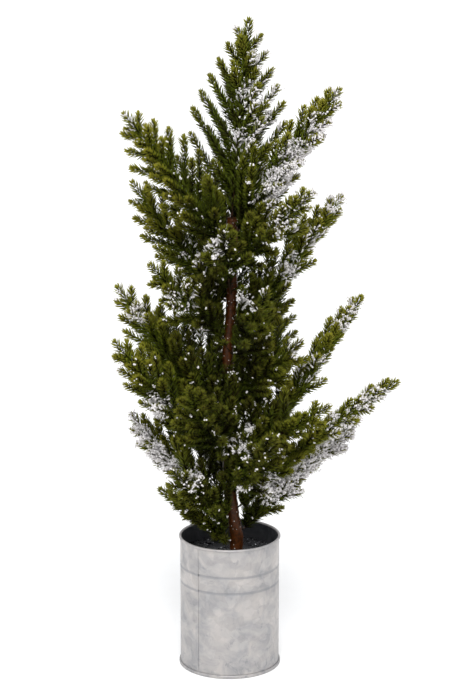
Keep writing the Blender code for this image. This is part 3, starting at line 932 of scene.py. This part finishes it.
def flat_sprigs(bough):
    """The sprigs in the bough's plane, upper side then lower side, with thinner ones between them."""
    found = []
    bare = BARE_LEADER if bough.name == "leader" else BARE_BOUGH
    angles = SPRIG_LEAN.get(bough.name, (SPRIG_ANGLE, SPRIG_ANGLE))
    for side, longest, angle in ((1, bough.upper, angles[0]), (-1, bough.lower, angles[1])):
        from_tip = SPRIG_FIRST + (0 if side > 0 else SPRIG_SPACING * SPRIG_STAGGER)
        while bough.length - from_tip > bare:
            _, _, across, flat = bough_frame(bough, 1 - from_tip / bough.length)
            length = min(SPRIG_SHORTEST + SPRIG_GROWTH * from_tip, longest)
            found.append(sprig_from(bough, from_tip, across * side, length, "flat", angle))
            between = from_tip + SPRIG_SPACING / 2
            if bough.length - between > BARE_LEAST:
                lift = unit(across * side + flat * random.choice((-0.7, 0.7)))
                shorter = length * random.uniform(0.8, 1.0)
                found.append(sprig_from(bough, between, lift, shorter, "between", angle - 2))
            from_tip += SPRIG_SPACING
    return found


def cross_sprigs(bough):
    """Shorter sprigs out of the plane, which make the tree dense when seen from any side."""
    found = []
    for side in (1, -1):
        from_tip = SPRIG_FIRST + CROSS_SPACING * (0.3 if side > 0 else 0.8)
        while bough.length - from_tip > BARE_LEAST:
            _, _, across, flat = bough_frame(bough, 1 - from_tip / bough.length)
            lean = random.choice((-1, 1)) * random.uniform(0.5, 1.3)
            longest = 0.8 * max(bough.upper, bough.lower)
            length = min(CROSS_SHORTEST + CROSS_GROWTH * from_tip, longest) * random.uniform(0.85, 1.1)
            side_way = unit(flat * side + across * lean)
            found.append(sprig_from(bough, from_tip, side_way, length, "cross", CROSS_ANGLE))
            from_tip += CROSS_SPACING
    return found


def inner_sprigs(bough):
    """Short sprigs close to the trunk, which hide the bare wire and darken the heart of the tree."""
    found = []
    low = bough.height < LOW_BOUGH
    for number in range(INNER_SPRIGS):
        from_trunk = INNER_FROM + INNER_SPAN * number / INNER_SPRIGS
        _, _, across, flat = bough_frame(bough, from_trunk / bough.length)
        turn = number * GOLDEN + random.uniform(-0.4, 0.4)
        side_way = across * cos(turn) + flat * sin(turn)
        length = random.uniform(0.024, 0.046)
        if low:
            side_way, length = unit(side_way + UP), length * 0.62
        angle = CROSS_ANGLE if low else INNER_ANGLE
        found.append(sprig_from(bough, bough.length - from_trunk, side_way, length, "inner", angle))
    return found


def upright_sprigs(bough):
    """Longer sprigs that stand up beside the trunk, in front of it and behind, and close its gaps."""
    found = []
    if bough.name == "leader" or bough.height < LOW_BOUGH:
        return found
    for number in range(UPRIGHT_SPRIGS):
        from_trunk = UPRIGHT_FROM + UPRIGHT_SPAN * number / UPRIGHT_SPRIGS
        _, along, _, _ = bough_frame(bough, from_trunk / bough.length)
        lean = np.array([0, random.uniform(-1.0, 0.5), 0])
        side_way = unit(UP - along * along[2] + lean * 0.6)
        length = random.uniform(0.040, 0.066)
        found.append(sprig_from(bough, bough.length - from_trunk, side_way, length, "upright", UPRIGHT_ANGLE))
    return found


def filling_sprigs(bough):
    """The listed sprigs, each from its bough's stem to a point in the heart of the tree."""
    found = []
    for percent, *tip in FILLERS.get(bough.name, ()):
        foot, _ = stem_point(bough, percent / 100)
        reach = np.array(tip) / MM - foot
        length = float(np.linalg.norm(reach))
        bend = unit(np.cross(np.cross(reach, UP), reach)) * SPRIG_BEND
        found.append(Sprig(foot, reach / length, bend, length, "filling"))
    return found


print("sprigs of the leader:", len(flat_sprigs(BOUGHS[0])), "flat and", len(cross_sprigs(BOUGHS[0])), "cross")

# %% [markdown]
# ## Where the snow lies
#
# The flock was thrown on from the right, so it is not even. It is thick under the lowest right bough, along
# the lowest left one and down the right of the leader, and elsewhere only flecks. Each patch belongs to a
# bough, or to any of them, and is a soft round spot with a centre across and up, a reach and a strength.

# %% Snow patches
# How far across and up, and the reach, in millimetres, then the strength.
SNOW = {
    "leader": (
        (30, 578, 12, 0.6), (20, 545, 14, 0.55), (42, 550, 16, 0.6), (34, 520, 14, 0.6),
        (12, 505, 12, 0.5), (22, 478, 16, 0.3), (0, 610, 10, 0.5),
    ),
    "right_1": (
        (100, 548, 14, 0.6), (80, 518, 15, 0.8), (62, 490, 18, 1.3), (46, 467, 17, 1.2),
        (34, 450, 12, 0.6),
    ),
    "right_2": ((78, 458, 14, 0.6), (50, 436, 18, 0.3)),
    "right_3": ((100, 444, 12, 0.7), (80, 410, 16, 0.3), (56, 385, 14, 0.7)),
    "right_4": ((66, 315, 12, 0.4),),
    "right_5": ((112, 338, 18, 0.45), (78, 288, 20, 0.35)),
    "right_7": ((130, 266, 22, 0.45), (104, 240, 18, 0.5)),
    "right_8": (
        (116, 229, 20, 1.4), (96, 212, 24, 1.6), (76, 196, 24, 1.6), (56, 182, 20, 1.5),
        (40, 170, 14, 0.8),
    ),
    "left_6": (
        (-96, 242, 12, 0.8), (-84, 226, 12, 1.2), (-70, 208, 13, 1.6), (-56, 192, 13, 1.6),
        (-42, 176, 14, 1.6), (-34, 164, 12, 1), (-90, 205, 12, 0.6),
    ),
    "left_5": ((-115, 300, 24, 0.16), (-70, 262, 16, 0.6)),
    "left_4": ((-100, 367, 16, 0.25), (-85, 345, 12, 0.6)),
    "left_3": ((-45, 360, 16, 0.3),),
    "left_2": ((-30, 400, 16, 0.3),),
    "left_1": ((-95, 530, 26, 0.12),),
    "front_1": ((-6, 300, 10, 0.9), (-20, 308, 8, 0.9)),
    "front_3": ((14, 362, 9, 0.8), (28, 380, 7, 0.7)),
    "front_2": ((32, 262, 8, 0.9), (14, 225, 6, 0.6)),
    "front_5": ((-22, 232, 9, 0.8), (-35, 196, 12, 0.6)),
    "front_4": ((-12, 418, 14, 0.5),),
    "any": (
        (40, 180, 14, 0.5), (13, 184, 9, 0.9), (0, 226, 6, 0.6), (18, 240, 5, 0.6), (-24, 325, 8, 0.3),
    ),
}


def snow_strength(name, places):
    """How thick the flock is at each place, from 0 to about 1."""
    strength = np.zeros(len(places))
    for across, up, reach, thickness in SNOW.get(name, ()) + SNOW["any"]:
        apart = (places[:, 0] - across / MM) ** 2 + (places[:, 2] - up / MM) ** 2
        strength = np.maximum(strength, thickness * np.clip(1.3 - apart / (reach / MM) ** 2, 0, 1))
    return strength


def clumps(places, size):
    """A smooth random number between 0 and 1 at each place, in lumps of this size."""
    x, y, z = (places / size).T
    wave = np.sin(x * 2.1 + 1.7 * np.sin(z * 1.3)) + np.sin(y * 2.4 + z)
    wave = wave + np.sin(z * 2.7 + 1.9 * np.sin(x * 1.1 + y))
    return 0.5 + wave / 6


print("snow patches:", sum(len(patches) for patches in SNOW.values()))

# %% [markdown]
# ## Growing the needles
#
# A moulded sprig carries its needles in rings of six, each ring turned half a step from the one before,
# which gives the herringbone look. They lean forward by about forty degrees, and close up at the end into a
# rounded bud. Each needle then gets its own small changes of length, lean and tint. Where the snow lies, a
# needle turns white and thicker, and grains of flock stick to its outer half. A few more grains are
# sprinkled in clusters over the whole tree.

# %% Needles along one line
RING_SPACING, RING_NEEDLES, TIP_NEEDLES = 0.0023, 6, 12
NEEDLE_LENGTH, NEEDLE_WIDTH, NEEDLE_THICKNESS = 0.0085, 0.00150, 0.0009
NEEDLE_LEAN = 39
BUD, YOUNG_TIP, TIP_INSET = 0.0050, 0.022, 0.0042
STALK_RADIUS, STEM_RADIUS = 0.0008, 0.0016
NEEDLE_ROOT, STEM_NEEDLE_ROOT = 0.0005, 0.0010


def needles_along(start, way, bend, length, stem=False):
    """Arrays of place, way, length and tip share for the needles of one sprig or stem."""
    axis_length = max(length - TIP_INSET, 0.003)
    rings = int(axis_length / RING_SPACING) + 2
    count = rings * RING_NEEDLES + TIP_NEEDLES
    ring = np.minimum(np.arange(count) // RING_NEEDLES, rings)
    share = np.clip(ring / rings + random.normal(0, 0.12, count) / rings, 0.01, 1.0)
    left = (1 - share) * axis_length
    middle = start + (way * share[:, None] - bend * (share - share**2)[:, None]) * axis_length
    along = unit(way - bend * (1 - 2 * share)[:, None])
    turn = (np.arange(count) + ring / 2) * TAU / RING_NEEDLES + random.uniform(0, TAU)
    turn = turn + random.normal(0, 0.12, count)
    across = unit(np.cross(along, UP + 0.01))
    over = np.cross(along, across)
    radial = across * np.cos(turn)[:, None] + over * np.sin(turn)[:, None]
    bud = np.clip(1 - left / BUD, 0, 1)
    lean = radians(NEEDLE_LEAN) * (1 - 0.62 * bud**2) + random.normal(0, 0.09, count)
    lean = lean * np.where(bud > 0.8, random.uniform(0.2, 1.6, count), 1)
    ways = along * np.cos(lean)[:, None] + radial * np.sin(lean)[:, None]
    lengths = NEEDLE_LENGTH * (1 - 0.48 * bud) * random.uniform(0.82, 1.12, count)
    places = middle + radial * (STEM_NEEDLE_ROOT if stem else NEEDLE_ROOT)
    return places, ways, lengths, np.clip(1 - left / YOUNG_TIP, 0, 1)


def stalks_along(start, way, bend, length, radius):
    """Three tapering pieces that make the stalk under the needles."""
    knots = np.linspace(0, 1, 4)
    points = start + (way * knots[:, None] - bend * (knots - knots**2)[:, None]) * length
    ways = points[1:] - points[:-1]
    lengths = np.linalg.norm(ways, axis=1) * np.array([1.5, 1.5, 1.0])
    return points[:-1] - ways * 0.05, ways, lengths, radius * np.array([1.0, 0.85, 0.7])


print("rings of", RING_NEEDLES, "needles, one every", RING_SPACING * 1000, "mm")

# %% Gaps where the trunk shows
Gap = namedtuple("Gap", "low high")
TRUNK_GAPS = (Gap(0.116, 0.150), Gap(0.292, 0.312), Gap(0.328, 0.372), Gap(0.424, 0.438))
LOOK_DOWN = 0.2476  # how far the line of sight falls per metre
TRUNK_CLEAR, TRUNK_FACE = 0.0055, 0.002


def off_the_trunk(places):
    """False for a needle that would hang in front of the trunk where the trunk is left bare."""
    level = places[:, 2] + np.minimum(places[:, 1], 0) * LOOK_DOWN
    near = np.abs(places[:, 0] - trunk_side(level)) < TRUNK_CLEAR
    hides = np.zeros(len(places), bool)
    for gap in TRUNK_GAPS:
        hides |= near & (places[:, 1] < TRUNK_FACE) & (level > gap.low) & (level < gap.high)
    return ~hides


print("bare lengths of trunk:", len(TRUNK_GAPS))

# %% Grow every bough
# Painted shade and light: needles near the trunk and low down get a darker tint and weaker yellow tips.
HEART, OUTER_REACH = 0.027, 0.064  # where the dark heart ends, and how far out the tint grows
LIT_FROM, LIT_REACH = 0.16, 0.36  # from this height up, needles are lighter
SNOW_LUMP, SPRINKLE_LUMP, MOST_SNOW = 0.006, 0.005, 0.78
FLOCKED_SHARE, FLOCK_SCATTER = 0.55, 0.0006
MOULDED, FLOCK = 0, 1


def grown(bough):
    """The needles, stalks and snow of one bough as one piece."""
    sprigs = flat_sprigs(bough) + cross_sprigs(bough) + inner_sprigs(bough) + upright_sprigs(bough)
    sprigs += filling_sprigs(bough)
    first_foot, first_way = stem_point(bough, 0.0)
    last_foot, last_way = stem_point(bough, 1.0)
    chord = unit(last_foot - first_foot)
    sag = (first_way - last_way) / 2
    stem = Sprig(first_foot + first_way * 0.001, chord, -sag, bough.length, "stem")
    groups, stalks = [], []
    for sprig in [stem] + sprigs:
        is_stem = sprig.kind == "stem"
        radius = STEM_RADIUS if is_stem else STALK_RADIUS
        groups.append(needles_along(sprig.start, sprig.way, sprig.bend, sprig.length, is_stem))
        stalks.append(stalks_along(sprig.start, sprig.way, sprig.bend, sprig.length - 0.005, radius))
    places, ways, lengths, tips = (np.concatenate(column) for column in zip(*groups))
    kept = off_the_trunk(places + ways * lengths[:, None] * 0.5)
    places, ways, lengths, tips = places[kept], ways[kept], lengths[kept], tips[kept]
    count = len(places)
    ends = places + ways * lengths[:, None]
    lumps = clumps(ends, SNOW_LUMP)
    snow = snow_strength(bough.name, ends) * (0.20 + 1.7 * np.clip(lumps - 0.3, 0, 1))
    snow = np.minimum(snow, MOST_SNOW)
    snowy = random.random(count) < snow
    notes = np.zeros((count, 4))
    # Painted shade: a share that is low near the trunk and low down darkens the tint and the yellow tips.
    from_trunk = np.hypot(ends[:, 0] - trunk_side(ends[:, 2]), ends[:, 1] * 0.4)
    rise = (ends[:, 2] - LIT_FROM) / LIT_REACH
    outerness = np.clip((from_trunk - HEART) / OUTER_REACH, 0, 1) * (0.65 + 0.35 * np.clip(rise, 0, 1))
    outerness = np.clip(outerness + np.clip(rise - 0.6, 0, 1), 0, 1)
    notes[:, 0] = random.uniform(0, 0.55, count) + 0.50 * outerness
    notes[:, 1] = np.where(snowy, random.uniform(0.75, 1.0, count), 0)
    notes[:, 3] = np.clip(0.15 + tips, 0, 1) * (0.20 + 0.80 * outerness)
    widths = np.stack([np.full(count, NEEDLE_WIDTH / 2), np.full(count, NEEDLE_THICKNESS / 2)], 1)
    widths *= np.where(snowy, 1.3, 1.0)[:, None] * random.uniform(0.85, 1.15, (count, 1))
    needles = laid(needle_shape, places, ways, lengths, widths, random.uniform(0, TAU, count), notes)

    feet, stalk_ways, stalk_lengths, radii = (np.concatenate(column) for column in zip(*stalks))
    no_turn, plain = np.zeros(len(feet)), np.zeros((len(feet), 4))
    stalk_widths = np.stack([radii, radii], 1)
    bark = laid(needle_shape, feet, stalk_ways, stalk_lengths, stalk_widths, no_turn, plain)
    layers = [(*needles, MOULDED), (*bark, MOULDED)]

    sprinkled = random.random(count) < 0.35 * np.clip(6 * clumps(ends, SPRINKLE_LUMP) - 4.7, 0, 1)
    heavy = snowy & (snow > 0.12) | sprinkled
    if heavy.any():
        heaps = 2 + (snow[heavy] > 0.4).astype(int)
        chosen = np.repeat(ends[heavy], heaps, axis=0)
        number = len(chosen)
        back_along = np.repeat(ways[heavy] * lengths[heavy, None], heaps, axis=0)
        chosen -= back_along * random.uniform(0, FLOCKED_SHARE, (number, 1))
        chosen += random.normal(0, FLOCK_SCATTER, (number, 3))
        grain_size = random.uniform(0.0005, 0.0012, number)
        grain_widths = np.stack([grain_size, grain_size * random.uniform(0.7, 1.0, number)], 1)
        ways, turns = random.normal(size=(number, 3)), random.uniform(0, TAU, number)
        flock = laid(grain_shape, chosen, ways, grain_size * 0.8, grain_widths, turns, np.zeros((number, 4)))
        layers.append((*flock, FLOCK))
    return piece_of(bough.name + "_needles", layers, [moulded_needles, flocked_snow])


faces = 0
for bough in BOUGHS:
    spray = grown(bough)
    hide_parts(bough.name + "_spray")
    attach(spray, bough.name)
    faces += len(spray.data.polygons)
print("needle faces in all:", faces)
